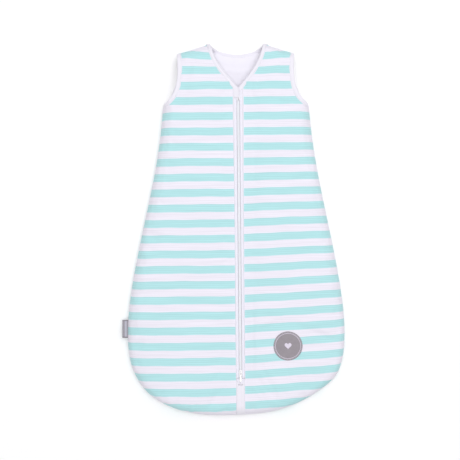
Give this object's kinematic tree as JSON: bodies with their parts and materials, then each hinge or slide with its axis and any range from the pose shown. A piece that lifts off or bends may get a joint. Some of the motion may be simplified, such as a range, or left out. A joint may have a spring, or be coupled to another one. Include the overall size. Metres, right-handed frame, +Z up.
{
  "type": "baby sleeping bag",
  "caption": "Sleeveless padded baby sleeping bag lying flat, with a V neck, bound armholes, a rounded hem and a full-length front zip that closes downwards.",
  "frame": {"origin": "middle of the flat underside of the back, where the bag rests on the floor", "axes": "+Y along the bag towards the neck, +Z up out of the front, +X across the bag to the right of a reader who looks down at the front with the neck at the top"},
  "size_m": [0.4441, 0.7409, 0.0495],
  "materials": {
    "striped_jersey": "soft cotton knit, mint and white stripes",
    "wadding": "white polyester wadding",
    "lining": "plain white cotton jersey",
    "white_binding": "white rib-knit bias binding",
    "zip_tape": "white woven zip tape",
    "zip_coil": "pale nylon coil",
    "zip_ends": "white moulded plastic",
    "slider_enamel": "white enamel on cast zinc",
    "pull_enamel": "white enamel on cast zinc",
    "thread": "white polyester thread",
    "badge_leather": "grey imitation leather",
    "badge_relief": "pale printed relief",
    "woven_label": "grey woven label, plain"
  },
  "bodies": {
    "bag": {"back_outer": "striped_jersey", "back_wadding": "wadding", "back_lining": "lining", "front_left_outer": "striped_jersey", "front_left_wadding": "wadding", "front_left_lining": "lining", "front_right_outer": "striped_jersey", "front_right_wadding": "wadding", "front_right_lining": "lining", "left_lower_band": "white_binding", "right_lower_band": "white_binding", "left_armhole_binding": "white_binding", "right_armhole_binding": "white_binding", "neck_binding": "white_binding", "zip_end_patch": "zip_tape", "zip_bottom_stop": "zip_ends", "zip_bar_tack": "thread", "badge_disc": "badge_leather", "badge_ring": "badge_relief", "badge_motif": "badge_relief", "side_label": "woven_label"},
    "left_flap": {"left_flap_outer": "striped_jersey", "left_flap_wadding": "wadding", "left_flap_lining": "lining", "left_neck_binding": "white_binding", "left_front_binding": "white_binding", "left_zip_facing": "white_binding", "left_zip_tape": "zip_tape", "left_zip_coil": "zip_coil", "chin_guard": "white_binding", "retainer_box": "zip_ends"},
    "right_flap": {"right_flap_outer": "striped_jersey", "right_flap_wadding": "wadding", "right_flap_lining": "lining", "right_neck_binding": "white_binding", "right_front_binding": "white_binding", "right_zip_facing": "white_binding", "right_zip_tape": "zip_tape", "right_zip_coil": "zip_coil", "insertion_pin": "zip_ends"},
    "slider": {"slider_body": "slider_enamel", "slider_cap": "slider_enamel"},
    "pull": {"pull_tab": "pull_enamel"}
  },
  "joints": [
    {"name": "left_fold", "type": "hinge", "parent": "bag", "child": "left_flap", "pos_m": [-0.0106, -0.297, 0.0463], "axis": [0.0583, -0.9983, 0], "range_deg": [0, 150]},
    {"name": "right_fold", "type": "hinge", "parent": "bag", "child": "right_flap", "pos_m": [0.0106, -0.297, 0.0463], "axis": [0.0583, 0.9983, 0], "range_deg": [0, 150]},
    {"name": "zip_slide", "type": "slide", "parent": "left_flap", "child": "slider", "axis": [0, 1, 0], "range_m": [0, 0.532]},
    {"name": "pull_swing", "type": "hinge", "parent": "slider", "child": "pull", "pos_m": [0, -0.284, 0.0481], "axis": [-1, 0, 0], "range_deg": [0, 180]}
  ]
}
